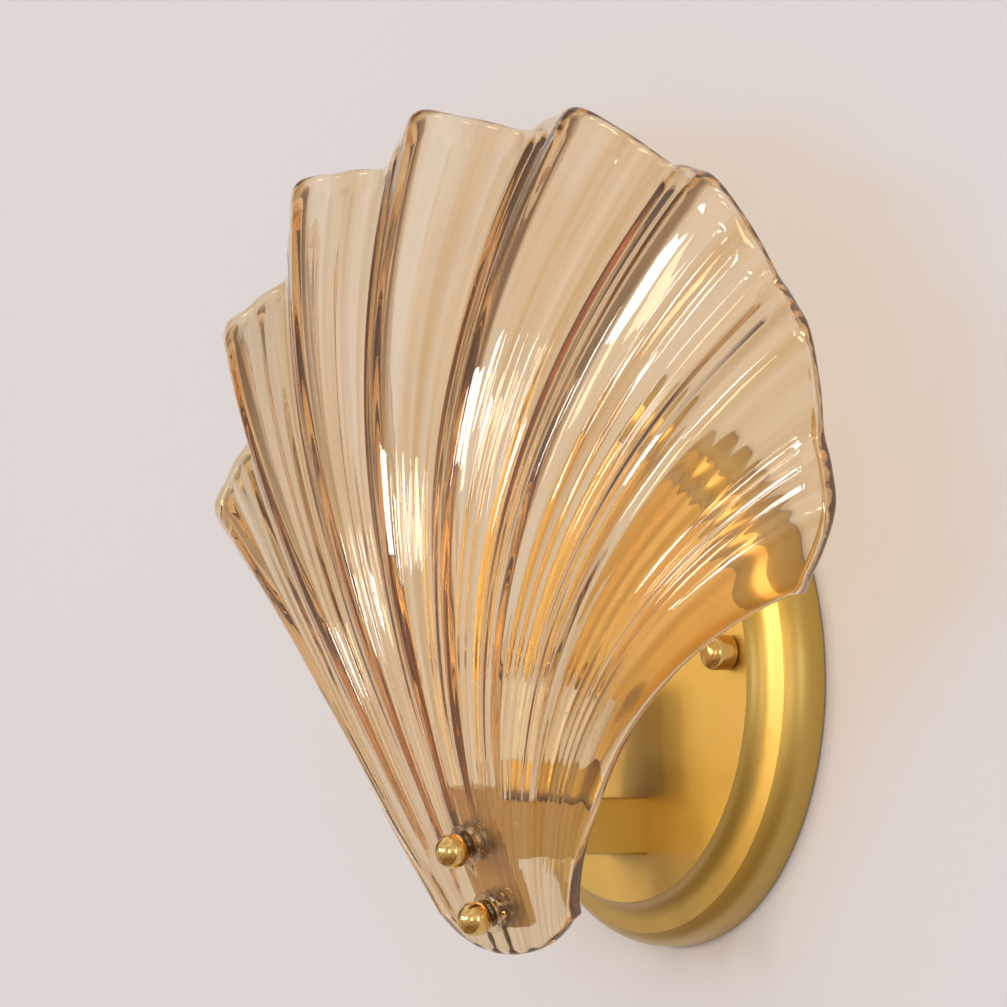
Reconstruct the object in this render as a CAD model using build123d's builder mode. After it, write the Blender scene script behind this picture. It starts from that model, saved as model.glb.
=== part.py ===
from build123d import *
from math import cos, pi, radians, sin, tanh
import os

# Shell wall sconce: a fluted glass scallop shell clamped by two ball nuts to a
# brass strap, carried on an arm from a round wall canopy.
# Millimetres. The wall is the plane Y = 0 and the room is on its -Y side, Z is
# up, and the origin is the centre of the canopy's back.

os.makedirs("parts", exist_ok=True)

# ---------------------------------------------------------------- clearances
thread_clearance = 0.05      # radial, a stud in its tapped hole
hole_clearance = 0.5         # radial, a stud in a plain hole
seat_gap = 0.2               # the front washers and the curved glass
back_seat_gap = 0.45         # the back washers and its hollow side
stud_end_gap = 0.5           # a stud's end above the bottom of its bore
stud_recess = 0.3            # a stud's back end below the back of the crossbar
stud_end_chamfer = 0.4

# ---------------------------------------------------------------- glass shell
glass_thickness = 5.0
flute_angle = 24.4           # degrees of the rim that one flute takes
centre_flute_extra = 2.5     # degrees added beside the middle flute
centre_flute_blend = 3.0
edge_flute = 3.875           # flutes from the middle to each side edge
corner_loss = 0.075          # share of the outermost rib that its corner rounds off
corner_sharpness = 14
rim_scallop = 0.011          # share of the middle rib by which the rim dips between two crests
side_scallop = 4.1           # times more at the side edges
skin_tolerance = 0.1         # between the skins and their ribs
columns_per_flute = 8        # ribs that draw one flute
rows_up = 10                 # points that draw one rib
rim_half_width = 162.5       # rim, an ellipse with slightly full quarters
rim_half_height = 117.6
rim_centre_z = 45.0
rim_fullness = 0.046
foot_half_width = 23.0       # foot of the ribs, below the tongue's end
foot_z = -86.0
waist_half_width = 66.0      # where the outermost rib bends outwards
waist_z = 8.0
waist_spread = 1.4
middle_depths = (54.0, 82.0, 113.0, 62.0)   # from the wall, foot to rim
edge_setbacks = (3.0, 3.0, 46.0, 10.0)      # of the side edges, foot to rim
rim_flute_depth = 12.0
flute_start = 0.22           # share of the rib that stays smooth at the foot
flute_growth = 1.8
side_flute_loss = 0.35
pleat_third_harmonic = 1 / 9 # squares a cosine wave up into a pleat
surface_step = 1e-3          # of flute and share, for the slopes of the surface
rim_bulge = 1.6              # rounding of the fire-polished rim
bulge_sharpness = 8          # how late the bulge dies away towards the corners
tongue_half_width = 37.0     # half-oval that ends the shell
tongue_length = 20.0
tongue_centre_z = -58.0
tongue_cut_start = 5.0       # below the centre of the half-oval

# ---------------------------------------------------------------- shade studs
seat_height = 0.155          # share of the middle rib between the two studs
stud_spacing = 20.5
shade_stud_radius = 2.0
glass_hole_radius = 4.0
washer_radius = 6.0
back_washer_thickness = 1.5
front_washer_thickness = 1.0
ball_radius = 5.0
ball_flat = 0.6              # cut off where the ball meets its washer
ball_bore_depth = 6.5

# ---------------------------------------------------------------- strap and arm
strap_width = 22.0
strap_thickness = 3.0
strap_above_seat = 25.0
strap_below_seat = 16.4
strap_corner_radius = 2.0
arm_width = 22.0
arm_height = 16.0
arm_z = -41.0
arm_edge_radius = 0.8
upper_stud_in_arm = 8.0
strap_nut_across_flats = 7.0
strap_nut_thickness = 3.2
stud_tail = 1.2

# ---------------------------------------------------------------- wall canopy
canopy_radius = 75.0
canopy_depth = 18.0
canopy_sheet = 1.4
bead_width = 3.8             # from the straight side in to the ledge
ledge_width = 3.6
cove_width = 5.1             # from the ledge in to the flat disc
cove_depth = 12.0            # the foot of the cove, from the wall
ledge_depth = 11.2
canopy_side = 4.5            # straight side at the wall
cove_radius = 6.2
bead_radius = 7.8
arm_screw_radius = 2.0
arm_screw_spacing = 15.2
arm_screw_length = 10.0
screw_head_radius = 3.6
screw_head_height = 2.4
driver_slot_width = 1.0
driver_slot_depth = 1.2

# ---------------------------------------------------------------- wall crossbar
bar_width = 18.0
bar_thickness = 2.5
bar_corner_radius = 3.0
bar_z = 8.0
canopy_stud_inset = 8.5      # from the edge of the canopy's disc
bar_end_margin = 8.0         # beyond the canopy studs
canopy_stud_radius = 2.0
locknut_across_flats = 7.0
locknut_thickness = 3.2
wall_slot_width = 5.0
slot_from_earth_screw = 6.5
slot_from_canopy_stud = 9.0
cap_nut_radius = 5.0
cap_nut_length = 8.5
cap_nut_bore_depth = 6.8
cap_nut_dome_radius = 3.4
cap_nut_edge_radius = 1.2
earth_screw_x = 18.5
earth_screw_radius = 1.75
earth_head_radius = 3.2
cup_washer_radius = 3.8
cup_washer_thickness = 0.8
block_length = 24.0
block_width = 13.0
block_height = 10.0
block_corner_radius = 1.0
block_poles = 2
pole_bore_radius = 1.6
pole_bore_height = 4.0
clamp_screw_radius = 1.5
clamp_screw_length = 3.5
clamp_well_depth = 5.0
clamp_slot_width = 0.5
block_screw_radius = 1.25
block_screw_head_radius = 2.5
block_screw_head = 1.4

# ---------------------------------------------------------------- lampholder
holder_distance = 41.5       # from the wall to the lampholder's axis
cup_radius = 14.0
cup_height = 11.0
cup_wall = 1.0
cup_edge_radius = 2.5
nipple_radius = 5.0
nipple_bore_radius = 3.6
nipple_in_arm = 5.5
nipple_above_nut = 4.0
nipple_nut_across_flats = 14.0
nipple_nut_thickness = 3.0
body_radius = 12.6
body_length = 29.0
body_rib_depth = 0.6
body_floor = 9.0
body_wire_hole_radius = 1.0
body_wire_hole_spacing = 7.6
grip_grooves = 18
grip_above_cup = 2.0
grip_length = 14.0
sleeve_thread_radius = 7.05  # inside of the lamp's screw shell
sleeve_wall = 0.5
sleeve_depth = 16.0
sleeve_below_rim = 1.5
contact_radius = 2.6
contact_thickness = 0.8
contact_pip_radius = 1.5
contact_pip_height = 1.4
contact_pip_edge_radius = 0.5
bushing_radius = 3.2
bushing_wall = 0.8
bushing_flange_radius = 3.8
bushing_flange_thickness = 1.0


# ================================================================ shell surface
def cubic(t, a, b, c, d):
    s = 1 - t
    return a * s**3 + 3 * b * s * s * t + 3 * c * s * t * t + d * t**3


def envelope(flute, t):
    """Point on the surface that the flute crests touch: foot t = 0, rim t = 1."""
    share = flute / edge_flute
    side = 1 if flute >= 0 else -1
    t = t * (1 - corner_loss * share**corner_sharpness)
    turn = flute_angle * flute + centre_flute_extra * tanh(centre_flute_blend * flute)
    angle = radians(turn)
    full = 1 + rim_fullness * sin(2 * angle) ** 2
    foot = (foot_half_width * share, foot_z)
    waist = (waist_half_width * side * abs(share) ** waist_spread, waist_z)
    rim = (rim_half_width * full * sin(angle), rim_centre_z + rim_half_height * full * cos(angle))
    s = 1 - t
    x, z = (s * s * a + 2 * s * t * b + t * t * c for a, b, c in zip(foot, waist, rim))
    depth = cubic(t, *middle_depths) - cubic(t, *edge_setbacks) * share * share
    return Vector(x, -depth, z)


def outward(flute, t):
    across = envelope(flute + surface_step, t) - envelope(flute - surface_step, t)
    along = envelope(flute, t + surface_step) - envelope(flute, t - surface_step)
    return across.cross(along).normalized()


def valley(flute):
    """0 on a flute's crest, 1 in the middle between two crests."""
    turn = 2 * pi * (flute - 0.5)
    pleat = cos(turn) + cos(3 * turn) * pleat_third_harmonic
    return (1 - pleat / (1 + pleat_third_harmonic)) / 2


def rim_end(flute):
    """Share of the rib where the scalloped rim lies."""
    return 1 - rim_scallop * (1 + side_scallop * (flute / edge_flute) ** 2) * valley(flute)


def flute_drop(flute, t):
    """How far the pleated skin lies behind the crests: nothing on a crest."""
    if t <= flute_start:
        return 0
    growth = ((t - flute_start) / (1 - flute_start)) ** flute_growth
    depth = rim_flute_depth * growth * (1 - side_flute_loss * (flute / edge_flute) ** 2)
    return depth * valley(flute)


def outer_skin(flute, t):
    return envelope(flute, t) - outward(flute, t) * flute_drop(flute, t)


def inner_skin(flute, t):
    return outer_skin(flute, t) - outward(flute, t) * glass_thickness


def rim_crown(flute):
    """Middle of the rounded rim, which dies away at the two corners."""
    end = rim_end(flute)
    middle = (outer_skin(flute, end) + inner_skin(flute, end)) / 2
    along = (envelope(flute, end) - envelope(flute, end - surface_step)).normalized()
    return middle + along * rim_bulge * (1 - (flute / edge_flute) ** bulge_sharpness)


def skin_face(skin):
    """The whole skin as one smooth face through its ribs."""
    ribs = [[skin(flute, t * rim_end(flute)) for t in rib_steps] for flute in flute_steps]
    return Face.make_surface_from_array_of_points(ribs, tol=skin_tolerance)


columns = round(edge_flute * columns_per_flute)
flute_steps = [edge_flute * i / columns for i in range(-columns, columns + 1)]
rib_steps = [i / rows_up for i in range(rows_up + 1)]

# The seat between the two studs: its plane touches the outside of the glass,
# with local x across the shell, y up the tongue and z out into the room.
seat_plane = Plane(outer_skin(0, seat_height), x_dir=(1, 0, 0), z_dir=outward(0, seat_height))
stud_spots = [(0, stud_spacing / 2), (0, -stud_spacing / 2)]
upper_spot, lower_spot = stud_spots
glass_back = -glass_thickness
strap_front = glass_back - back_seat_gap - back_washer_thickness
strap_back = strap_front - strap_thickness
washer_front = seat_gap + front_washer_thickness
ball_centre = washer_front + ball_radius - ball_flat

# ================================================================ glass shell
outer_face = skin_face(outer_skin)
inner_face = skin_face(inner_skin)


def end_edge(face, pick):
    """The edge of a lofted skin that lies along its foot, rim, left or right."""
    middles = {
        "foot": envelope(0, 0),
        "rim": outer_skin(0, rim_end(0)),
        "left": envelope(-edge_flute, 0.5),
        "right": envelope(edge_flute, 0.5),
    }
    return face.edges().sort_by_distance(middles[pick])[0]


rim_spline = Edge.make_spline([rim_crown(flute) for flute in flute_steps])
closing_faces = [
    Face.make_surface_from_curves(end_edge(outer_face, side), end_edge(inner_face, side))
    for side in ("foot", "left", "right")
]
rim_face = Shell.make_loft(
    [Wire([end_edge(outer_face, "rim")]), Wire([rim_spline]), Wire([end_edge(inner_face, "rim")])]
).face()
fluted_glass = Solid(Shell([outer_face, inner_face, rim_face] + closing_faces))

with BuildPart() as glass_shell:
    add(fluted_glass)
    # the tongue ends in a half-oval
    with BuildSketch(Plane.XZ):
        with Locations((0, tongue_centre_z - tongue_cut_start)):
            Rectangle(rim_half_width, 2 * tongue_length, align=(Align.CENTER, Align.MAX))
        with Locations((0, tongue_centre_z)):
            Ellipse(tongue_half_width, tongue_length, mode=Mode.SUBTRACT)
    extrude(amount=max(middle_depths), mode=Mode.SUBTRACT)
    # clearance holes for the two studs
    with BuildSketch(seat_plane):
        with Locations(*stud_spots):
            Circle(glass_hole_radius)
    extrude(amount=2 * glass_thickness, both=True, mode=Mode.SUBTRACT)

# ================================================================ shade studs
def stud(spot, back):
    """A stud square to the seat, from `back` into the bore of its ball nut."""
    front = washer_front + ball_bore_depth - stud_end_gap
    with BuildPart() as rod:
        with BuildSketch(seat_plane.offset(back)):
            with Locations(spot):
                Circle(shade_stud_radius)
        extrude(amount=front - back)
        ends = rod.faces().sort_by(SortBy.AREA)[:2].edges()
        chamfer(ends, stud_end_chamfer)
    return rod


def rings(back, thickness, outside, inside):
    """One flat ring round each shade stud."""
    with BuildPart() as pair:
        with BuildSketch(seat_plane.offset(back)):
            with Locations(*stud_spots):
                Circle(outside)
                Circle(inside, mode=Mode.SUBTRACT)
        extrude(amount=thickness)
    return pair


def ball_nut(spot):
    """Ball with a flat seat and a blind tapped bore, on one shade stud."""
    with BuildPart() as ball:
        with Locations(seat_plane.offset(ball_centre)):
            with Locations((*spot, 0)):
                Sphere(ball_radius)
        split(bisect_by=seat_plane.offset(washer_front), keep=Keep.TOP)
        with BuildSketch(seat_plane.offset(washer_front)):
            with Locations(spot):
                Circle(shade_stud_radius + thread_clearance)
        extrude(amount=ball_bore_depth, mode=Mode.SUBTRACT)
    return ball


upper_shade_stud = stud(upper_spot, strap_back - upper_stud_in_arm)
lower_shade_stud = stud(lower_spot, strap_back - strap_nut_thickness - stud_tail)
back_washers = rings(strap_front, back_washer_thickness, washer_radius, shade_stud_radius + hole_clearance)
stud_sleeves = rings(
    glass_back - back_seat_gap,
    back_seat_gap + glass_thickness + seat_gap,
    glass_hole_radius - seat_gap,
    shade_stud_radius + hole_clearance,
)
front_washers = rings(seat_gap, front_washer_thickness, washer_radius, shade_stud_radius + hole_clearance)
upper_shade_nut = ball_nut(upper_spot)
lower_shade_nut = ball_nut(lower_spot)

with BuildPart() as strap_nut:
    with BuildSketch(seat_plane.offset(strap_back - strap_nut_thickness)):
        with Locations(lower_spot):
            RegularPolygon(strap_nut_across_flats / 2, 6, major_radius=False)
            Circle(shade_stud_radius + thread_clearance, mode=Mode.SUBTRACT)
    extrude(amount=strap_nut_thickness)

# ================================================================ strap and arm
with BuildPart() as shade_strap:
    with BuildSketch(seat_plane.offset(strap_back)):
        with Locations((0, (strap_above_seat - strap_below_seat) / 2)):
            RectangleRounded(strap_width, strap_above_seat + strap_below_seat, strap_corner_radius)
        with Locations(*stud_spots):
            Circle(shade_stud_radius + thread_clearance, mode=Mode.SUBTRACT)
    extrude(amount=strap_thickness)

arm_top = arm_z + arm_height / 2
arm_screw_spots = [(-arm_screw_spacing / 2, arm_z), (arm_screw_spacing / 2, arm_z)]
wireway_spot = (0, arm_z)

with BuildPart() as arm:
    # bar from the canopy's disc, mitred to lie flat on the back of the strap
    with BuildSketch(Plane.XZ.offset(canopy_depth)):
        with Locations(wireway_spot):
            RectangleRounded(arm_width, arm_height, arm_edge_radius)
    extrude(amount=max(middle_depths))
    split(bisect_by=seat_plane.offset(strap_back), keep=Keep.BOTTOM)
    # tapped holes for the screws from inside the canopy
    with BuildSketch(Plane.XZ.offset(canopy_depth)):
        with Locations(*arm_screw_spots):
            Circle(arm_screw_radius + thread_clearance)
    extrude(amount=arm_screw_length, mode=Mode.SUBTRACT)
    # wireway to the lampholder's nipple
    with BuildSketch(Plane.XZ.offset(canopy_depth)):
        with Locations(wireway_spot):
            Circle(bushing_radius - bushing_wall)
    extrude(amount=holder_distance - canopy_depth, mode=Mode.SUBTRACT)
    with BuildSketch(Plane.XY.offset(arm_top)):
        with Locations((0, -holder_distance)):
            Circle(nipple_radius + thread_clearance)
    extrude(amount=-nipple_in_arm - thread_clearance, mode=Mode.SUBTRACT)
    # tapped hole for the upper shade stud
    with BuildSketch(seat_plane.offset(strap_back)):
        with Locations(upper_spot):
            Circle(shade_stud_radius + thread_clearance)
    extrude(amount=-upper_stud_in_arm - stud_end_gap, mode=Mode.SUBTRACT)

# ================================================================ wall canopy
inside_disc = canopy_depth - canopy_sheet
ledge_outer_radius = canopy_radius - bead_width
ledge_inner_radius = ledge_outer_radius - ledge_width
disc_radius = ledge_inner_radius - cove_width
canopy_stud_spacing = 2 * (disc_radius - canopy_stud_inset)
canopy_stud_spots = [(-canopy_stud_spacing / 2, bar_z), (canopy_stud_spacing / 2, bar_z)]

with BuildPart() as canopy:
    # spun dish: flat disc, cove, ledge, bead and a straight side to the wall
    with BuildSketch(Plane.XY):
        with BuildLine():
            Line((0, -canopy_depth), (disc_radius, -canopy_depth))
            RadiusArc((disc_radius, -canopy_depth), (ledge_inner_radius, -cove_depth), cove_radius)
            Line((ledge_inner_radius, -cove_depth), (ledge_outer_radius, -ledge_depth))
            RadiusArc((ledge_outer_radius, -ledge_depth), (canopy_radius, -canopy_side), -bead_radius)
            Polyline((canopy_radius, -canopy_side), (canopy_radius, 0), (0, 0), (0, -canopy_depth))
        make_face()
    revolve(axis=Axis.Y)
    offset(amount=-canopy_sheet, openings=canopy.faces().sort_by(Axis.Y)[-1])
    with BuildSketch(Plane.XZ.offset(inside_disc)):
        with Locations(*canopy_stud_spots):
            Circle(canopy_stud_radius + hole_clearance)
        with Locations(*arm_screw_spots):
            Circle(arm_screw_radius + hole_clearance)
        with Locations(wireway_spot):
            Circle(bushing_radius + thread_clearance)
    extrude(amount=canopy_sheet, mode=Mode.SUBTRACT)

with BuildPart() as arm_screws:
    with BuildSketch(Plane.XZ.offset(inside_disc - screw_head_height)):
        with Locations(*arm_screw_spots):
            Circle(screw_head_radius)
    extrude(amount=screw_head_height)
    with BuildSketch(Plane.XZ.offset(inside_disc)):
        with Locations(*arm_screw_spots):
            Circle(arm_screw_radius)
    extrude(amount=canopy_sheet + arm_screw_length - stud_end_gap)
    with BuildSketch(Plane.XZ.offset(inside_disc - screw_head_height)):
        with Locations(*arm_screw_spots):
            Rectangle(2 * screw_head_radius, driver_slot_width)
    extrude(amount=driver_slot_depth, mode=Mode.SUBTRACT)

with BuildPart() as wire_bushing:
    with BuildSketch(Plane.XZ.offset(inside_disc - bushing_flange_thickness)):
        with Locations(wireway_spot):
            Circle(bushing_flange_radius)
    extrude(amount=bushing_flange_thickness)
    with BuildSketch(Plane.XZ.offset(inside_disc)):
        with Locations(wireway_spot):
            Circle(bushing_radius)
    extrude(amount=canopy_sheet)
    with BuildSketch(Plane.XZ.offset(inside_disc - bushing_flange_thickness)):
        with Locations(wireway_spot):
            Circle(bushing_radius - bushing_wall)
    extrude(amount=bushing_flange_thickness + canopy_sheet, mode=Mode.SUBTRACT)

# ================================================================ wall crossbar
bar_length = canopy_stud_spacing + 2 * bar_end_margin
slot_inner_end = earth_screw_x + slot_from_earth_screw
slot_outer_end = canopy_stud_spacing / 2 - slot_from_canopy_stud
wall_slot_length = slot_outer_end - slot_inner_end
wall_slot_spacing = slot_outer_end + slot_inner_end

with BuildPart() as crossbar:
    with BuildSketch(Plane.XZ):
        with Locations((0, bar_z)):
            RectangleRounded(bar_length, bar_width, bar_corner_radius)
        with Locations((-wall_slot_spacing / 2, bar_z), (wall_slot_spacing / 2, bar_z)):
            SlotOverall(wall_slot_length, wall_slot_width, mode=Mode.SUBTRACT)
        with Locations(*canopy_stud_spots):
            Circle(canopy_stud_radius + thread_clearance, mode=Mode.SUBTRACT)
        with Locations((earth_screw_x, bar_z)):
            Circle(earth_screw_radius + thread_clearance, mode=Mode.SUBTRACT)
        with Locations((0, bar_z)):
            Circle(block_screw_radius + thread_clearance, mode=Mode.SUBTRACT)
    extrude(amount=bar_thickness)

with BuildPart() as crossbar_studs:
    with BuildSketch(Plane.XZ.offset(stud_recess)):
        with Locations(*canopy_stud_spots):
            Circle(canopy_stud_radius)
    extrude(amount=canopy_depth + cap_nut_bore_depth - stud_end_gap - stud_recess)
    chamfer(crossbar_studs.faces().sort_by(Axis.Y)[:2].edges(), stud_end_chamfer)

with BuildPart() as stud_locknuts:
    with BuildSketch(Plane.XZ.offset(bar_thickness)):
        with Locations(*canopy_stud_spots):
            RegularPolygon(locknut_across_flats / 2, 6, major_radius=False)
            Circle(canopy_stud_radius + thread_clearance, mode=Mode.SUBTRACT)
    extrude(amount=locknut_thickness)


def cap_nut(spot):
    """Round cap nut that holds the canopy on one crossbar stud."""
    with BuildPart() as nut:
        with BuildSketch(Plane.XZ.offset(canopy_depth)):
            with Locations(spot):
                Circle(cap_nut_radius)
        extrude(amount=cap_nut_length)
        fillet(nut.faces().sort_by(Axis.Y)[0].edges(), cap_nut_dome_radius)
        fillet(nut.faces().sort_by(Axis.Y)[-1].edges(), cap_nut_edge_radius)
        with BuildSketch(Plane.XZ.offset(canopy_depth)):
            with Locations(spot):
                Circle(canopy_stud_radius + thread_clearance)
        extrude(amount=cap_nut_bore_depth, mode=Mode.SUBTRACT)
    return nut


left_canopy_nut, right_canopy_nut = (cap_nut(spot) for spot in canopy_stud_spots)

with BuildPart() as earth_cup_washer:
    with BuildSketch(Plane.XZ.offset(bar_thickness)):
        with Locations((earth_screw_x, bar_z)):
            Circle(cup_washer_radius)
            Circle(earth_screw_radius + hole_clearance, mode=Mode.SUBTRACT)
    extrude(amount=cup_washer_thickness)

earth_head_back = bar_thickness + cup_washer_thickness
with BuildPart() as earth_screw:
    with BuildSketch(Plane.XZ.offset(stud_recess)):
        with Locations((earth_screw_x, bar_z)):
            Circle(earth_screw_radius)
    extrude(amount=earth_head_back - stud_recess)
    with BuildSketch(Plane.XZ.offset(earth_head_back)):
        with Locations((earth_screw_x, bar_z)):
            Circle(earth_head_radius)
    extrude(amount=screw_head_height)
    with BuildSketch(Plane.XZ.offset(earth_head_back + screw_head_height)):
        with Locations((earth_screw_x, bar_z)):
            Rectangle(2 * earth_head_radius, driver_slot_width)
    extrude(amount=-driver_slot_depth, mode=Mode.SUBTRACT)

# ---------------------------------------------------------------- terminal block
pole_pitch = block_length / block_poles
block_front = bar_thickness + block_height
block_plane = Plane((0, 0, bar_z), x_dir=(1, 0, 0), z_dir=(0, -1, 0))
clamp_spots = GridLocations(pole_pitch, block_width / 2, block_poles, 2).locations

with BuildPart() as terminal_block:
    with BuildSketch(block_plane.offset(bar_thickness)):
        RectangleRounded(block_length, block_width, block_corner_radius)
        Circle(block_screw_radius + hole_clearance, mode=Mode.SUBTRACT)
    extrude(amount=block_height)
    # bores for the wire ends, from top to bottom
    with BuildSketch(Plane.XY.offset(bar_z - block_width / 2)):
        with Locations((0, -bar_thickness - pole_bore_height)):
            with GridLocations(pole_pitch, 1, block_poles, 1):
                Circle(pole_bore_radius)
    extrude(amount=block_width, mode=Mode.SUBTRACT)
    # wells for the clamp screws
    with BuildSketch(block_plane.offset(block_front)):
        with Locations(*clamp_spots):
            Circle(clamp_screw_radius + thread_clearance)
    extrude(amount=-clamp_well_depth, mode=Mode.SUBTRACT)

with BuildPart() as clamp_screws:
    with BuildSketch(block_plane.offset(block_front - clamp_well_depth)):
        with Locations(*clamp_spots):
            Circle(clamp_screw_radius)
    extrude(amount=clamp_screw_length)
    with BuildSketch(block_plane.offset(block_front - clamp_well_depth + clamp_screw_length)):
        with Locations(*clamp_spots):
            Rectangle(2 * clamp_screw_radius, clamp_slot_width)
    extrude(amount=-driver_slot_depth, mode=Mode.SUBTRACT)

with BuildPart() as block_screw:
    with BuildSketch(block_plane.offset(stud_recess)):
        Circle(block_screw_radius)
    extrude(amount=block_front - stud_recess)
    with BuildSketch(block_plane.offset(block_front)):
        Circle(block_screw_head_radius)
    extrude(amount=block_screw_head)

# ================================================================ lampholder
holder_plane = Plane((0, -holder_distance, arm_top))
cup_floor = cup_wall
nut_top = cup_floor + nipple_nut_thickness
body_top = nut_top + body_length
body_bore_radius = sleeve_thread_radius + sleeve_wall + thread_clearance
sleeve_bottom = body_top - sleeve_below_rim - sleeve_depth

with BuildPart() as holder_cup:
    with BuildSketch(holder_plane):
        Circle(cup_radius)
    extrude(amount=cup_height)
    fillet(holder_cup.faces().sort_by(Axis.Z)[0].edges(), cup_edge_radius)
    offset(amount=-cup_wall, openings=holder_cup.faces().sort_by(Axis.Z)[-1])
    with BuildSketch(holder_plane):
        Circle(nipple_radius + hole_clearance)
    extrude(amount=cup_height, mode=Mode.SUBTRACT)

with BuildPart() as holder_nipple:
    with BuildSketch(holder_plane.offset(-nipple_in_arm)):
        Circle(nipple_radius)
        Circle(nipple_bore_radius, mode=Mode.SUBTRACT)
    extrude(amount=nipple_in_arm + nut_top + nipple_above_nut)

with BuildPart() as nipple_nut:
    with BuildSketch(holder_plane.offset(cup_floor)):
        RegularPolygon(nipple_nut_across_flats / 2, 6, major_radius=False)
        Circle(nipple_radius + thread_clearance, mode=Mode.SUBTRACT)
    extrude(amount=nipple_nut_thickness)

with BuildPart() as holder_body:
    with BuildSketch(holder_plane.offset(nut_top)):
        Circle(body_radius)
    extrude(amount=body_length)
    fillet(holder_body.faces().sort_by(Axis.Z)[-1].edges(), body_rib_depth)
    # grip ribs above the cup
    with BuildSketch(holder_plane.offset(cup_height + grip_above_cup)):
        with PolarLocations(body_radius, grip_grooves):
            Circle(body_rib_depth)
    extrude(amount=grip_length, mode=Mode.SUBTRACT)
    with BuildSketch(holder_plane.offset(nut_top)):
        Circle(nipple_radius + thread_clearance)
    extrude(amount=nipple_above_nut + thread_clearance, mode=Mode.SUBTRACT)
    with BuildSketch(holder_plane.offset(nut_top + body_floor)):
        Circle(body_bore_radius)
    extrude(amount=body_length - body_floor, mode=Mode.SUBTRACT)
    with BuildSketch(holder_plane.offset(nut_top)):
        with GridLocations(body_wire_hole_spacing, 1, 2, 1):
            Circle(body_wire_hole_radius)
    extrude(amount=body_floor, mode=Mode.SUBTRACT)

with BuildPart() as thread_sleeve:
    with BuildSketch(holder_plane.offset(sleeve_bottom)):
        Circle(sleeve_thread_radius + sleeve_wall)
        Circle(sleeve_thread_radius, mode=Mode.SUBTRACT)
    extrude(amount=sleeve_depth)

with BuildPart() as centre_contact:
    with BuildSketch(holder_plane.offset(nut_top + body_floor)):
        Circle(contact_radius)
    extrude(amount=contact_thickness)
    with BuildSketch(holder_plane.offset(nut_top + body_floor + contact_thickness)):
        Circle(contact_pip_radius)
    extrude(amount=contact_pip_height)
    fillet(centre_contact.faces().sort_by(Axis.Z)[-1].edges(), contact_pip_edge_radius)

# ================================================================ export
pieces = {
    "glass_shell": glass_shell,
    "upper_shade_nut": upper_shade_nut,
    "lower_shade_nut": lower_shade_nut,
    "front_washers": front_washers,
    "stud_sleeves": stud_sleeves,
    "back_washers": back_washers,
    "upper_shade_stud": upper_shade_stud,
    "lower_shade_stud": lower_shade_stud,
    "strap_nut": strap_nut,
    "shade_strap": shade_strap,
    "arm": arm,
    "arm_screws": arm_screws,
    "wire_bushing": wire_bushing,
    "canopy": canopy,
    "left_canopy_nut": left_canopy_nut,
    "right_canopy_nut": right_canopy_nut,
    "crossbar": crossbar,
    "crossbar_studs": crossbar_studs,
    "stud_locknuts": stud_locknuts,
    "earth_screw": earth_screw,
    "earth_cup_washer": earth_cup_washer,
    "terminal_block": terminal_block,
    "clamp_screws": clamp_screws,
    "block_screw": block_screw,
    "holder_cup": holder_cup,
    "holder_nipple": holder_nipple,
    "nipple_nut": nipple_nut,
    "holder_body": holder_body,
    "thread_sleeve": thread_sleeve,
    "centre_contact": centre_contact,
}
for name, piece in pieces.items():
    piece.part.label = name
    export_step(piece.part, f"parts/{name}.step")
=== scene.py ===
"""Looks of the shell wall sconce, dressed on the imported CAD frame.

Metres, in the frame of the CAD part: the wall is the plane Y = 0, the room is on
its -Y side, Z is up, and the origin is the centre of the canopy's back.
"""

import math

import bmesh
import bpy
import numpy as np
from mathutils import Matrix, Vector


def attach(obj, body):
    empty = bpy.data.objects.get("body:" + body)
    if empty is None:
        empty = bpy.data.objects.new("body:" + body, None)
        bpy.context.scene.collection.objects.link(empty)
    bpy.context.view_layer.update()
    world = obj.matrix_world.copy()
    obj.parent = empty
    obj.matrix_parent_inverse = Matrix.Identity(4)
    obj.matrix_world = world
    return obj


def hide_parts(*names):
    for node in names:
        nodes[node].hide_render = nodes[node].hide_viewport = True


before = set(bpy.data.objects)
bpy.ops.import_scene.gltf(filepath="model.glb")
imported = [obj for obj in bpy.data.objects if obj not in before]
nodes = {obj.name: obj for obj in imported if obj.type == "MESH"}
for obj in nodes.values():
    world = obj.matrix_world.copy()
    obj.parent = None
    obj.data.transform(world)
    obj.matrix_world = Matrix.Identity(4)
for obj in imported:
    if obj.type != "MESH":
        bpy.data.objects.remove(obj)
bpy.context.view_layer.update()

MM = 0.001

# ---------------------------------------------------------------- camera
CAMERA_AZIMUTH = math.radians(57.4)
CAMERA_DISTANCE = 10.0
CAMERA_CLIP_END = 100
SENSOR_MM = 36.0
FRAME_PIXELS = 1007
PIXELS_PER_METRE = 3550.0      # at the fixture
ORIGIN_PIXEL = (679.3, 680.0)  # the centre of the canopy's back in the photograph

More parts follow.
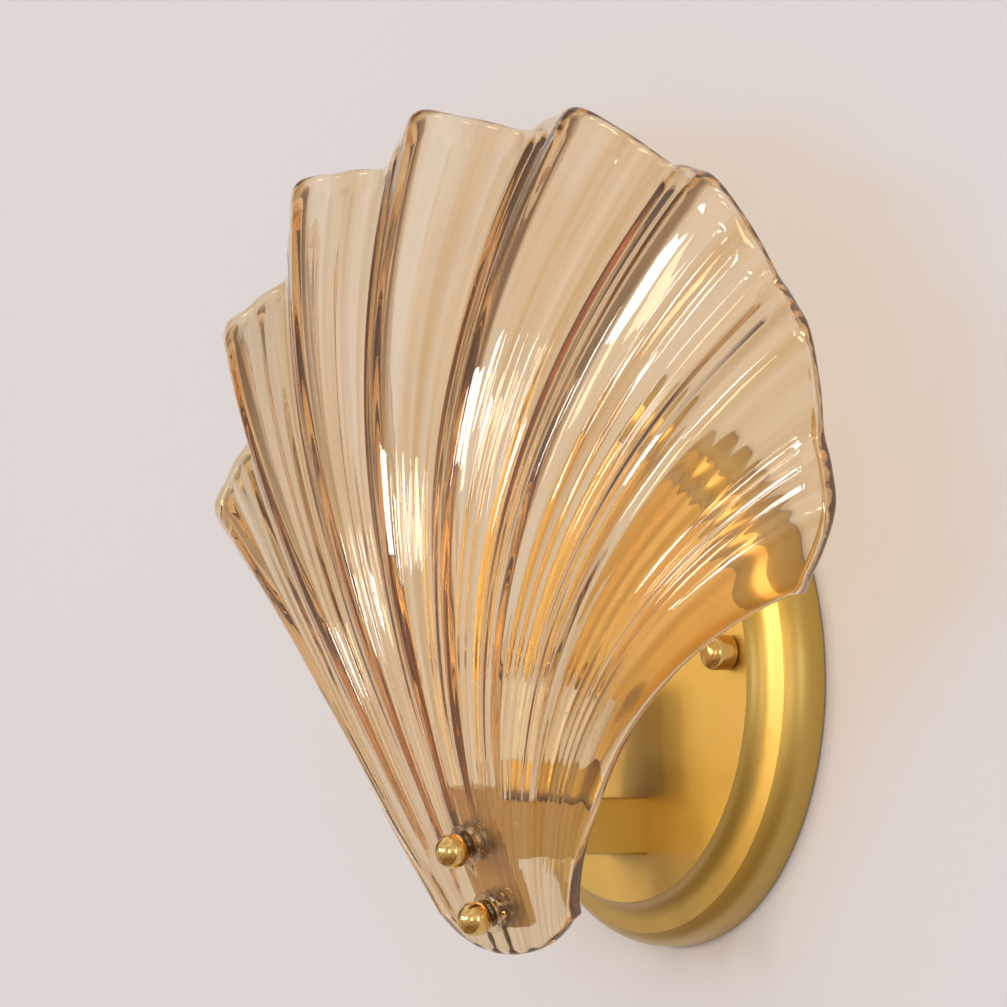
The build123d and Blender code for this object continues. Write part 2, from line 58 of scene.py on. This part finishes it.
# ---------------------------------------------------------------- glass shell (mm and degrees)
# A point of the shell is given by its flute, counted from the middle, and by t, its
# share of the rib from the foot to the rim.
GLASS_THICKNESS = 5.0
FLUTE_ANGLE = 24.4
CENTRE_FLUTE_EXTRA = 2.5     # further turn of the ribs beside the middle one
CENTRE_FLUTE_TURN = 3
EDGE_FLUTE = 3.875           # flute at the shell's side edges
CORNER_LOSS = 0.075          # share of the rib lost at the rounded corners
CORNER_SHARPNESS = 14
RIM_SCALLOP = 0.011          # share of the rib lost in a valley of the rim
SIDE_SCALLOP = 4.1
RIM_HALF_WIDTH = 162.5
RIM_HALF_HEIGHT = 117.6
RIM_CENTRE_Z = 45.0
RIM_FULLNESS = 0.046
FOOT_HALF_WIDTH = 23.0
FOOT_Z = -86.0
WAIST_HALF_WIDTH = 66.0
WAIST_Z = 8.0
WAIST_SPREAD = 1.4
MIDDLE_DEPTHS = (54.0, 82.0, 113.0, 62.0)   # from the wall, along the middle rib
EDGE_SETBACKS = (3.0, 3.0, 46.0, 10.0)
RIM_FLUTE_DEPTH = 12.0
FLUTE_START = 0.14           # the pleats run a little further down than in the CAD solid
FLUTE_GROWTH = 1.55
SIDE_FLUTE_LOSS = 0.35
TONGUE_HALF_WIDTH = 37.0
TONGUE_LENGTH = 20.0
TONGUE_CENTRE_Z = -58.0
TONGUE_SEARCH = (0.5, 40)    # highest share of the rib, and number of halvings
SEAT_HEIGHT = 0.155          # share of the middle rib where the studs' seat is
STUD_SPACING = 20.5
GLASS_HOLE_RADIUS = 4.0
DRILL_LENGTH = 30.0
DRILL_SEGMENTS = 64
STEP = 1e-3                  # of flute and t, for slopes

REEDS_PER_FLUTE = 8
REED_COLUMNS = (0.0, 0.14, 0.32, 0.5, 0.68, 0.86)  # across one reed, close at its grooves
REED_DEPTH_SHARE = 0.13      # depth of a groove over the reed's width
REED_ROUNDNESS = 1.3
REED_UNEVENNESS = 0.45
REED_WAVES = (11.3, 4.0, 0.0), (17.9, -6.0, 0.7)   # radians per flute and per rib, and phase
REED_START = (0.12, 0.42)    # t where the grooves fade in
CREST_PLAIN = (0.9, 0.15)    # share of a groove lost on a crest, and how far from it in flutes
RIM_BAND = 5.5               # plain glass between the grooves' ends and the rim
GROOVE_END = 2.2
SIDE_BAND = 0.32             # flutes of plain glass along each side edge
SIDE_BAND_END = 0.06
RIB_ROWS = 84
RIM_ROWS = 14                # closer rows over the last stretch of each rib
RIM_ROWS_SHARE = 0.07
EDGE_BULGE = 2.3             # of the fire-polished edge, beyond the skins
EDGE_OVERHANG = 1.6          # of that edge, beyond the rim of the CAD solid
EDGE_SEGMENTS = 6
WAVINESS = 0.12
BROAD_WAVES = (2.3, 9.1, 0.0), (1.9, 13.7, 0.0)
FINE_WAVE = (5.1, -21.0, 1.3)
FINE_SHARE = 0.5
RIB_MAP = "rib"              # UV map of flute and t, for the streaks in the glass


# ================================================================ glass shell
def cubic(t, a, b, c, d):
    """Bezier curve through a and d, drawn towards b and c."""
    s = 1 - t
    return a * s**3 + 3 * b * s * s * t + 3 * c * s * t * t + d * t**3


def envelope(flute, t):
    """Points on the surface that the flute crests touch, as an (..., 3) array."""
    share = flute / EDGE_FLUTE
    t = t * (1 - CORNER_LOSS * share**CORNER_SHARPNESS)
    extra = CENTRE_FLUTE_EXTRA * np.tanh(CENTRE_FLUTE_TURN * flute)
    angle = np.radians(FLUTE_ANGLE * flute + extra)
    full = 1 + RIM_FULLNESS * np.sin(2 * angle) ** 2
    s = 1 - t
    waist_x = WAIST_HALF_WIDTH * np.sign(flute) * np.abs(share) ** WAIST_SPREAD
    rim_x = RIM_HALF_WIDTH * full * np.sin(angle)
    rim_z = RIM_CENTRE_Z + RIM_HALF_HEIGHT * full * np.cos(angle)
    x = s * s * FOOT_HALF_WIDTH * share + 2 * s * t * waist_x + t * t * rim_x
    z = s * s * FOOT_Z + 2 * s * t * WAIST_Z + t * t * rim_z
    depth = cubic(t, *MIDDLE_DEPTHS) - cubic(t, *EDGE_SETBACKS) * share * share
    return np.stack([x, -depth, z], axis=-1)


def unit(v):
    return v / np.linalg.norm(v, axis=-1, keepdims=True)


def slope_across(flute, t):
    """Millimetres across the ribs for a whole flute, as a vector."""
    return (envelope(flute + STEP, t) - envelope(flute - STEP, t)) / (2 * STEP)


def slope_along(flute, t):
    """Millimetres along a rib for a whole unit of t, as a vector."""
    return (envelope(flute, t + STEP) - envelope(flute, t - STEP)) / (2 * STEP)


def rib_speed(flute, t):
    return np.linalg.norm(slope_along(flute, t), axis=-1)


def outward(flute, t):
    return unit(np.cross(slope_across(flute, t), slope_along(flute, t)))


def valley(flute):
    """From 0 on a crest to 1 in the middle of a valley, with nearly straight sides."""
    turn = 2 * np.pi * (flute - 0.5)
    return (1 - (np.cos(turn) + np.cos(3 * turn) / 9) * 0.9) / 2


def rim_end(flute):
    return 1 - RIM_SCALLOP * (1 + SIDE_SCALLOP * (flute / EDGE_FLUTE) ** 2) * valley(flute)


def flute_drop(flute, t):
    growth = np.clip((t - FLUTE_START) / (1 - FLUTE_START), 0, None) ** FLUTE_GROWTH
    depth = RIM_FLUTE_DEPTH * growth * (1 - SIDE_FLUTE_LOSS * (flute / EDGE_FLUTE) ** 2)
    return depth * valley(flute)


def smoothstep(low, high, value):
    s = np.clip((value - low) / (high - low), 0, 1)
    return s * s * (3 - 2 * s)


def wave(flute, t, per_flute, per_rib, phase):
    return np.sin(per_flute * flute + per_rib * t + phase)


def reed_drop(flute, t):
    """Depth of the pressed grooves between the reeds, none on a reed's top."""
    flute_width = np.linalg.norm(slope_across(flute, t), axis=-1)
    across = np.abs(np.cos(np.pi * flute * REEDS_PER_FLUTE)) ** REED_ROUNDNESS
    from_crest = flute - 0.5 - np.round(flute - 0.5)
    plain = 1 - CREST_PLAIN[0] * np.exp(-((from_crest / CREST_PLAIN[1]) ** 2))
    uneven = wave(flute, t, *REED_WAVES[0]) * wave(flute, t, *REED_WAVES[1])
    depth = REED_DEPTH_SHARE * (1 + REED_UNEVENNESS * uneven) * flute_width / REEDS_PER_FLUTE
    from_rim = (rim_end(flute) - t) * rib_speed(flute, np.ones_like(t))
    fade = smoothstep(*REED_START, t) * smoothstep(RIM_BAND, RIM_BAND + GROOVE_END, from_rim)
    side = smoothstep(SIDE_BAND, SIDE_BAND + SIDE_BAND_END, EDGE_FLUTE - np.abs(flute))
    return depth * (1 - across) * fade * side * plain


def waviness(flute, t):
    """Slow unevenness of hand-finished glass."""
    broad = wave(flute, t, *BROAD_WAVES[0]) * wave(flute, t, *BROAD_WAVES[1])
    return WAVINESS * (broad + FINE_SHARE * wave(flute, t, *FINE_WAVE))


def tongue_start(flute):
    """t where the tongue's half-oval end cuts each rib."""
    length = TONGUE_LENGTH - EDGE_BULGE
    highest, halvings = TONGUE_SEARCH
    low = np.zeros_like(flute)
    high = np.full_like(flute, highest)
    for _ in range(halvings):
        middle = (low + high) / 2
        point = envelope(flute, middle)
        below = np.minimum(point[..., 2] - TONGUE_CENTRE_Z, 0)
        outside = (point[..., 0] / TONGUE_HALF_WIDTH) ** 2 + (below / length) ** 2 > 1
        outside &= below < -TONGUE_LENGTH / 4
        low = np.where(outside, middle, low)
        high = np.where(outside, high, middle)
    return high


def reed_columns():
    """Flute values of the mesh's columns, with a groove on a column."""
    outermost = math.floor(EDGE_FLUTE * REEDS_PER_FLUTE - 0.5) + 0.5
    columns = [-EDGE_FLUTE, outermost / REEDS_PER_FLUTE]
    for reed in np.arange(-outermost, outermost):
        columns += [(reed + u) / REEDS_PER_FLUTE for u in REED_COLUMNS]
    return np.array(sorted(columns + [EDGE_FLUTE]))


def mesh_object(name, vertices, faces, smooth=True):
    mesh = bpy.data.meshes.new(name)
    mesh.from_pydata([tuple(v) for v in vertices], [], faces)
    mesh.validate()
    mesh.update()
    obj = bpy.data.objects.new(name, mesh)
    bpy.context.scene.collection.objects.link(obj)
    if smooth:
        mesh.shade_smooth()
    return obj


def build_shell(name):
    """Fluted skins, front and back, joined by a rounded edge all round."""
    flutes = reed_columns()
    last = 1 - RIM_ROWS_SHARE
    rows = np.concatenate([
        np.linspace(0, last, RIB_ROWS, endpoint=False),
        np.linspace(last, 1, RIM_ROWS + 1),
    ])
    start = tongue_start(flutes)
    held_back = (EDGE_BULGE - EDGE_OVERHANG) / rib_speed(flutes, np.ones_like(flutes))
    end = rim_end(flutes) - held_back
    t = start[:, None] + (end - start)[:, None] * rows[None, :]
    f = np.repeat(flutes[:, None], len(rows), axis=1)
    normal = outward(f, t)
    skin = envelope(f, t) - normal * (flute_drop(f, t) - waviness(f, t) + WAVINESS)[..., None]
    front = skin - normal * reed_drop(f, t)[..., None]
    back = skin - normal * GLASS_THICKNESS

    nc, nr = f.shape
    loop = [(i, 0) for i in range(nc)]
    loop += [(nc - 1, j) for j in range(1, nr)]
    loop += [(i, nr - 1) for i in range(nc - 2, -1, -1)]
    loop += [(0, j) for j in range(nr - 2, 0, -1)]
    vertices = np.concatenate([front.reshape(-1, 3), back.reshape(-1, 3)])
    half = nc * nr

    edge_out = []
    for i, j in loop:
        out = np.zeros(3)
        if j == 0:
            out += unit(skin[i, 0] - skin[i, 1])
        if j == nr - 1:
            out += unit(skin[i, nr - 1] - skin[i, nr - 2])
        if i == 0:
            out += unit(skin[0, j] - skin[1, j])
        if i == nc - 1:
            out += unit(skin[nc - 1, j] - skin[nc - 2, j])
        edge_out.append(unit(out))
    edge_out = np.array(edge_out)
    a = np.array([front[i, j] for i, j in loop])
    b = np.array([back[i, j] for i, j in loop])
    middle = (a + b) / 2
    rings = []
    for k in range(1, EDGE_SEGMENTS):
        angle = math.pi * k / EDGE_SEGMENTS
        bulge = edge_out * EDGE_BULGE * math.sin(angle)
        rings.append(middle + (a - middle) * math.cos(angle) + bulge)
    vertices = np.concatenate([vertices] + rings) * MM

    def front_at(i, j):
        return i * nr + j

    faces = []
    for i in range(nc - 1):
        for j in range(nr - 1):
            corners = (i, j), (i + 1, j), (i + 1, j + 1), (i, j + 1)
            quad = tuple(front_at(*corner) for corner in corners)
            faces.append(quad)
            faces.append(tuple(half + v for v in reversed(quad)))
    count = len(loop)
    layers = [[front_at(i, j) for i, j in loop]]
    layers += [[2 * half + k * count + m for m in range(count)] for k in range(EDGE_SEGMENTS - 1)]
    layers += [[half + front_at(i, j) for i, j in loop]]
    for upper, lower in zip(layers, layers[1:]):
        for m in range(count):
            n = (m + 1) % count
            faces.append((upper[n], upper[m], lower[m], lower[n]))
    obj = mesh_object(name, vertices, faces)

    loop_f = np.array([f[i, j] for i, j in loop])
    loop_t = np.array([t[i, j] for i, j in loop])
    vertex_f = np.concatenate([f.ravel(), f.ravel(), np.tile(loop_f, EDGE_SEGMENTS - 1)])
    vertex_t = np.concatenate([t.ravel(), t.ravel(), np.tile(loop_t, EDGE_SEGMENTS - 1)])
    used = np.empty(len(obj.data.loops), dtype=np.int32)
    obj.data.loops.foreach_get("vertex_index", used)
    uv = obj.data.uv_layers.new(name=RIB_MAP)
    uv.data.foreach_set("uv", np.stack([vertex_f[used], vertex_t[used]], axis=-1).ravel())
    return obj


def seat_frame():
    """Origin, and up and outward directions, of the seat between the studs."""
    middle = np.array(0.0)
    height = np.array(SEAT_HEIGHT)
    normal = Vector(outward(middle, height))
    origin = Vector(envelope(middle, height)) * MM
    return origin, normal.cross(Vector((1, 0, 0))), normal


def drill(obj, centre, direction, radius, length):
    """Cuts a round hole through obj."""
    bm = bmesh.new()
    bmesh.ops.create_cone(
        bm, cap_ends=True, segments=DRILL_SEGMENTS, radius1=radius, radius2=radius, depth=length
    )
    turn = direction.to_track_quat("Z", "Y").to_matrix().to_4x4()
    bmesh.ops.transform(bm, matrix=Matrix.Translation(centre) @ turn, verts=bm.verts)
    mesh = bpy.data.meshes.new("drill")
    bm.to_mesh(mesh)
    bm.free()
    cutter = bpy.data.objects.new("drill", mesh)
    bpy.context.scene.collection.objects.link(cutter)
    cut = obj.modifiers.new("hole", "BOOLEAN")
    cut.operation = "DIFFERENCE"
    cut.object = cutter
    cut.solver = "MANIFOLD"
    depsgraph = bpy.context.evaluated_depsgraph_get()
    new_mesh = bpy.data.meshes.new_from_object(obj.evaluated_get(depsgraph))
    obj.modifiers.clear()
    obj.data = new_mesh
    bpy.data.objects.remove(cutter)


# ================================================================ materials
def new_material(name):
    mat = bpy.data.materials.new(name)
    mat.use_nodes = True
    mat.node_tree.nodes.clear()
    return mat, mat.node_tree.nodes, mat.node_tree.links


def set_pair(map_range, end, values):
    """Sets the From or the To limits of a Map Range node."""
    map_range.inputs[end + " Min"].default_value = values[0]
    map_range.inputs[end + " Max"].default_value = values[1]


GLASS_TINT = (0.99, 0.98, 0.95)
GLASS_CLEARNESS = 0.97         # the rest is a faint haze
GLASS_IOR = 1.5
ABSORPTION = (0.965, 0.71, 0.26)
ABSORPTION_DENSITY = 105.0
STREAK_SCALE = (7.0, 0.9, 1.0)  # of the amber streaks, across a flute and along a rib
STREAK_DETAIL = 2.0
STREAK_RANGE = (0.47, 0.7)
STREAK_TINT = (0.8, 0.61, 0.34)


def glass_material():
    """Amber glass, deeper in colour where it is thick, that lets the lamps' light through."""
    mat, nodes_, links = new_material("amber_glass")
    out = nodes_.new("ShaderNodeOutputMaterial")
    glass = nodes_.new("ShaderNodeBsdfPrincipled")
    glass.inputs["Roughness"].default_value = 0.0
    glass.inputs["IOR"].default_value = GLASS_IOR
    glass.inputs["Transmission Weight"].default_value = GLASS_CLEARNESS
    ribs = nodes_.new("ShaderNodeUVMap")
    ribs.uv_map = RIB_MAP
    stretch = nodes_.new("ShaderNodeMapping")
    stretch.inputs["Scale"].default_value = STREAK_SCALE
    links.new(ribs.outputs["UV"], stretch.inputs["Vector"])
    noise = nodes_.new("ShaderNodeTexNoise")
    noise.inputs["Scale"].default_value = 1.0
    noise.inputs["Detail"].default_value = STREAK_DETAIL
    links.new(stretch.outputs["Vector"], noise.inputs["Vector"])
    amount = nodes_.new("ShaderNodeMapRange")
    set_pair(amount, "From", STREAK_RANGE)
    links.new(noise.outputs["Fac"], amount.inputs["Value"])
    streaks = nodes_.new("ShaderNodeMix")
    streaks.data_type = "RGBA"
    streaks.inputs["A"].default_value = (*GLASS_TINT, 1)
    streaks.inputs["B"].default_value = (*STREAK_TINT, 1)
    links.new(amount.outputs["Result"], streaks.inputs["Factor"])
    links.new(streaks.outputs["Result"], glass.inputs["Base Color"])
    clear = nodes_.new("ShaderNodeBsdfTransparent")
    path = nodes_.new("ShaderNodeLightPath")
    soft = nodes_.new("ShaderNodeMath")
    soft.operation = "MAXIMUM"
    links.new(path.outputs["Is Shadow Ray"], soft.inputs[0])
    links.new(path.outputs["Is Diffuse Ray"], soft.inputs[1])
    mix = nodes_.new("ShaderNodeMixShader")
    links.new(soft.outputs[0], mix.inputs[0])
    links.new(glass.outputs[0], mix.inputs[1])
    links.new(clear.outputs[0], mix.inputs[2])
    links.new(mix.outputs[0], out.inputs["Surface"])
    tint = nodes_.new("ShaderNodeVolumeAbsorption")
    tint.inputs["Color"].default_value = (*ABSORPTION, 1)
    tint.inputs["Density"].default_value = ABSORPTION_DENSITY
    links.new(tint.outputs[0], out.inputs["Volume"])
    return mat


CLOUD_SCALE = 60.0             # slow changes of gloss and colour, about 17 mm across
CLOUD_DETAIL = 4.0
CLOUD_SHADE = 0.96             # colour of the darker places over the lighter ones
GRAIN_SCALE = 1400.0           # fine grain, about 0.7 mm across
GRAIN_DETAIL = 3.0
GRAIN_STRENGTH = 0.25
GRAIN_DEPTH = 0.00004
LACQUER_IOR = 1.75


def solid_material(
    name, color, roughness, spread=0.06, metallic=1.0, lacquer=0.0, lacquer_roughness=0.25
):
    """Metal or plastic with a fine grain and slightly uneven gloss and colour."""
    mat, nodes_, links = new_material(name)
    out = nodes_.new("ShaderNodeOutputMaterial")
    surface = nodes_.new("ShaderNodeBsdfPrincipled")
    surface.inputs["Metallic"].default_value = metallic
    surface.inputs["Coat Weight"].default_value = lacquer
    surface.inputs["Coat Roughness"].default_value = lacquer_roughness
    surface.inputs["Coat IOR"].default_value = LACQUER_IOR
    links.new(surface.outputs[0], out.inputs["Surface"])
    place = nodes_.new("ShaderNodeTexCoord")
    noise = nodes_.new("ShaderNodeTexNoise")
    noise.inputs["Scale"].default_value = CLOUD_SCALE
    noise.inputs["Detail"].default_value = CLOUD_DETAIL
    links.new(place.outputs["Object"], noise.inputs["Vector"])
    rough = nodes_.new("ShaderNodeMapRange")
    set_pair(rough, "To", (roughness - spread, roughness + spread))
    links.new(noise.outputs["Fac"], rough.inputs["Value"])
    links.new(rough.outputs["Result"], surface.inputs["Roughness"])
    shade = nodes_.new("ShaderNodeMix")
    shade.data_type = "RGBA"
    shade.inputs["A"].default_value = (*[c * CLOUD_SHADE for c in color], 1)
    shade.inputs["B"].default_value = (*color, 1)
    links.new(noise.outputs["Fac"], shade.inputs["Factor"])
    links.new(shade.outputs["Result"], surface.inputs["Base Color"])
    fine = nodes_.new("ShaderNodeTexNoise")
    fine.inputs["Scale"].default_value = GRAIN_SCALE
    fine.inputs["Detail"].default_value = GRAIN_DETAIL
    links.new(place.outputs["Object"], fine.inputs["Vector"])
    grain = nodes_.new("ShaderNodeBump")
    grain.inputs["Strength"].default_value = GRAIN_STRENGTH
    grain.inputs["Distance"].default_value = GRAIN_DEPTH
    links.new(fine.outputs["Fac"], grain.inputs["Height"])
    links.new(grain.outputs["Normal"], surface.inputs["Normal"])
    return mat


def dress(node, mat):
    mesh = nodes[node].data
    mesh.materials.clear()
    mesh.materials.append(mat)


satin_brass = solid_material(
    "satin_brass", (0.54, 0.345, 0.034), 0.47, lacquer=1.0, lacquer_roughness=0.38
)
polished_brass = solid_material(
    "polished_brass", (0.72, 0.455, 0.12), 0.1, spread=0.03, lacquer=0.6
)
# Darker copy of the satin brass for the holder cup: its darker colour is painted shade, for the
# shade the cup sits in behind the glass.
shaded_satin_brass = solid_material("shaded_satin_brass", (0.42, 0.28, 0.06), 0.48)
turned_brass = solid_material("turned_brass", (0.74, 0.5, 0.18), 0.26)
zinc = solid_material("zinc_steel", (0.6, 0.6, 0.6), 0.34)
white_plastic = solid_material("white_plastic", (0.82, 0.8, 0.76), 0.35, metallic=0.0)
nylon = solid_material("natural_nylon", (0.97, 0.94, 0.88), 0.14, metallic=0.0)
nylon.node_tree.nodes["Principled BSDF"].inputs["Transmission Weight"].default_value = 1.0

FINISHES = {
    satin_brass: ["canopy", "arm", "shade_strap"],
    # the holder cup takes the darker copy of the satin brass, whose colour is painted shade
    shaded_satin_brass: ["holder_cup"],
    polished_brass: ["upper_shade_nut", "lower_shade_nut", "left_canopy_nut", "right_canopy_nut"],
    turned_brass: [
        "upper_shade_stud", "lower_shade_stud", "strap_nut", "crossbar_studs", "stud_locknuts",
        "earth_screw", "earth_cup_washer", "clamp_screws", "thread_sleeve", "centre_contact",
    ],
    zinc: ["arm_screws", "crossbar", "block_screw", "holder_nipple", "nipple_nut"],
    white_plastic: ["terminal_block", "holder_body"],
    nylon: ["front_washers", "stud_sleeves", "back_washers", "wire_bushing"],
}
for finish, names in FINISHES.items():
    for name in names:
        dress(name, finish)

# ---------------------------------------------------------------- the shell, drilled and in place
shell = build_shell("fluted_glass")
seat_origin, seat_up, seat_normal = seat_frame()
for side in (1, -1):
    hole = seat_origin + seat_up * (side * STUD_SPACING / 2 * MM)
    drill(shell, hole, seat_normal, GLASS_HOLE_RADIUS * MM, DRILL_LENGTH * MM)
shell.data.materials.clear()
shell.data.materials.append(glass_material())
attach(shell, "fixture")
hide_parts("glass_shell")


# ================================================================ stage
WALL_HALF = 3.0
WALL_Y = 0.0006
WALL_COLOR = (0.71, 0.695, 0.712)
WALL_ROUGHNESS = 0.9
WALL_GLOSS = 0.2
OPENING_RADIUS = 0.066
OPENING_SEGMENTS = 96


def build_wall(name):
    """Square of wall, facing -Y, with the opening of its outlet box behind the canopy."""
    edge, opening = [], []
    for k in range(OPENING_SEGMENTS):
        angle = 2 * math.pi * k / OPENING_SEGMENTS
        x, z = math.cos(angle), math.sin(angle)
        reach = WALL_HALF / max(abs(x), abs(z))
        edge.append((x * reach, WALL_Y, z * reach))
        opening.append((x * OPENING_RADIUS, WALL_Y, z * OPENING_RADIUS))
    faces = []
    for k in range(OPENING_SEGMENTS):
        n = (k + 1) % OPENING_SEGMENTS
        faces.append((k, n, OPENING_SEGMENTS + n, OPENING_SEGMENTS + k))
    return mesh_object(name, edge + opening, faces, smooth=False)


def wall_material():
    """Pale paint, clear from behind so that the back of the fixture can be seen."""
    mat, nodes_, links = new_material("painted_wall")
    out = nodes_.new("ShaderNodeOutputMaterial")
    paint = nodes_.new("ShaderNodeBsdfPrincipled")
    paint.inputs["Base Color"].default_value = (*WALL_COLOR, 1)
    paint.inputs["Roughness"].default_value = WALL_ROUGHNESS
    paint.inputs["Specular IOR Level"].default_value = WALL_GLOSS
    clear = nodes_.new("ShaderNodeBsdfTransparent")
    geometry = nodes_.new("ShaderNodeNewGeometry")
    mix = nodes_.new("ShaderNodeMixShader")
    links.new(geometry.outputs["Backfacing"], mix.inputs[0])
    links.new(paint.outputs[0], mix.inputs[1])
    links.new(clear.outputs[0], mix.inputs[2])
    links.new(mix.outputs[0], out.inputs["Surface"])
    return mat


wall = build_wall("wall")
wall.data.materials.append(wall_material())

ROOM_LIGHT = (0.86, 0.82, 0.795)
ROOM_DIM = (0.66, 0.61, 0.54)  # the side that the canopy's disc mirrors
ROOM_DARK = (0.16, 0.1, 0.05)  # the end of the room, beside the wall
DIM_SIDE = Vector((-0.84, -0.54, -0.1)).normalized()
DIM_SPREAD = (0.7, 0.96)       # cosines from its middle where it starts and is full
DARK_SIDE = Vector((-1, -0.1, 0.35)).normalized()
DARK_SPREAD = (0.87, 1.0)
ROOM_FLOOR = (0.3, 0.2, 0.12)  # wood
FLOOR_RISE = (-0.75, 0.05)     # heights where the floor ends and the walls are full
ROOM_UNEVEN = (0.72, 1.28)     # brightness of its furniture and its bare walls
UNEVEN_SCALE = 3.5
UNEVEN_DETAIL = 3.0
UNEVEN_RANGE = (0.4, 0.6)


def room_world():
    """Pale room with a darker floor, a dim side and a dark end, for glass and brass to mirror."""
    world = bpy.data.worlds.new("studio")
    world.use_nodes = True
    nodes_, links = world.node_tree.nodes, world.node_tree.links
    background = nodes_["Background"]
    place = nodes_.new("ShaderNodeTexCoord")

    def toward(side, spread):
        near = nodes_.new("ShaderNodeVectorMath")
        near.operation = "DOT_PRODUCT"
        near.inputs[1].default_value = side
        links.new(place.outputs["Generated"], near.inputs[0])
        amount = nodes_.new("ShaderNodeMapRange")
        amount.interpolation_type = "SMOOTHSTEP"
        set_pair(amount, "From", spread)
        links.new(near.outputs["Value"], amount.inputs["Value"])
        return amount.outputs["Result"]

    def mixed(factor, first, second):
        shade = nodes_.new("ShaderNodeMix")
        shade.data_type = "RGBA"
        links.new(factor, shade.inputs["Factor"])
        for socket, value in (("A", first), ("B", second)):
            if isinstance(value, tuple):
                shade.inputs[socket].default_value = (*value, 1)
            else:
                links.new(value, shade.inputs[socket])
        return shade.outputs["Result"]

    color = mixed(toward(DIM_SIDE, DIM_SPREAD), ROOM_LIGHT, ROOM_DIM)
    color = mixed(toward(DARK_SIDE, DARK_SPREAD), color, ROOM_DARK)
    height = nodes_.new("ShaderNodeSeparateXYZ")
    links.new(place.outputs["Generated"], height.inputs[0])
    rise = nodes_.new("ShaderNodeMapRange")
    set_pair(rise, "From", FLOOR_RISE)
    links.new(height.outputs["Z"], rise.inputs["Value"])
    links.new(mixed(rise.outputs["Result"], ROOM_FLOOR, color), background.inputs["Color"])
    noise = nodes_.new("ShaderNodeTexNoise")
    noise.inputs["Scale"].default_value = UNEVEN_SCALE
    noise.inputs["Detail"].default_value = UNEVEN_DETAIL
    links.new(place.outputs["Generated"], noise.inputs["Vector"])
    uneven = nodes_.new("ShaderNodeMapRange")
    set_pair(uneven, "From", UNEVEN_RANGE)
    set_pair(uneven, "To", ROOM_UNEVEN)
    links.new(noise.outputs["Fac"], uneven.inputs["Value"])
    links.new(uneven.outputs["Result"], background.inputs["Strength"])
    bpy.context.scene.world = world


room_world()


LAMP_TARGET = Vector((0, -0.04, 0.03))
LAMP_DISTANCE = 2.0


def softbox(name, azimuth, elevation, width, height, power):
    """Area light aimed at the shade; azimuth 0 is straight out from the wall, + to the right."""
    a, e = math.radians(azimuth), math.radians(elevation)
    way = Vector((math.sin(a) * math.cos(e), -math.cos(a) * math.cos(e), math.sin(e)))
    light = bpy.data.lights.new(name, "AREA")
    light.shape = "RECTANGLE"
    light.size = width
    light.size_y = height
    light.energy = power
    lamp = bpy.data.objects.new(name, light)
    lamp.location = LAMP_TARGET + way * LAMP_DISTANCE
    lamp.rotation_euler = way.to_track_quat("Z", "Y").to_euler()
    bpy.context.scene.collection.objects.link(lamp)


softbox("window_left", -31, 4, 0.2, 0.36, 4.6)
softbox("window_middle", -15, 4, 0.2, 0.36, 4.6)
softbox("window_right", 2, 4, 0.2, 0.36, 4.0)
softbox("panel_left", 38, -1, 0.24, 0.6, 2.8)
softbox("panel_right", 80, 1, 0.32, 0.8, 3.4)

# ---------------------------------------------------------------- camera
to_camera = Vector((math.sin(CAMERA_AZIMUTH), -math.cos(CAMERA_AZIMUTH), 0))
to_right = Vector((math.cos(CAMERA_AZIMUTH), math.sin(CAMERA_AZIMUTH), 0))
middle_pixel = FRAME_PIXELS / 2
aim = to_right * ((middle_pixel - ORIGIN_PIXEL[0]) / PIXELS_PER_METRE)
aim += Vector((0, 0, 1)) * ((ORIGIN_PIXEL[1] - middle_pixel) / PIXELS_PER_METRE)
camera_data = bpy.data.cameras.new("camera")
camera_data.sensor_width = SENSOR_MM
camera_data.lens = SENSOR_MM * CAMERA_DISTANCE * PIXELS_PER_METRE / FRAME_PIXELS
camera_data.clip_end = CAMERA_CLIP_END
camera = bpy.data.objects.new("camera", camera_data)
camera.location = aim + to_camera * CAMERA_DISTANCE
camera.rotation_mode = "QUATERNION"
camera.rotation_quaternion = to_camera.to_track_quat("Z", "Y")
bpy.context.scene.collection.objects.link(camera)
bpy.context.scene.camera = camera

bpy.context.scene.view_settings.view_transform = "Standard"
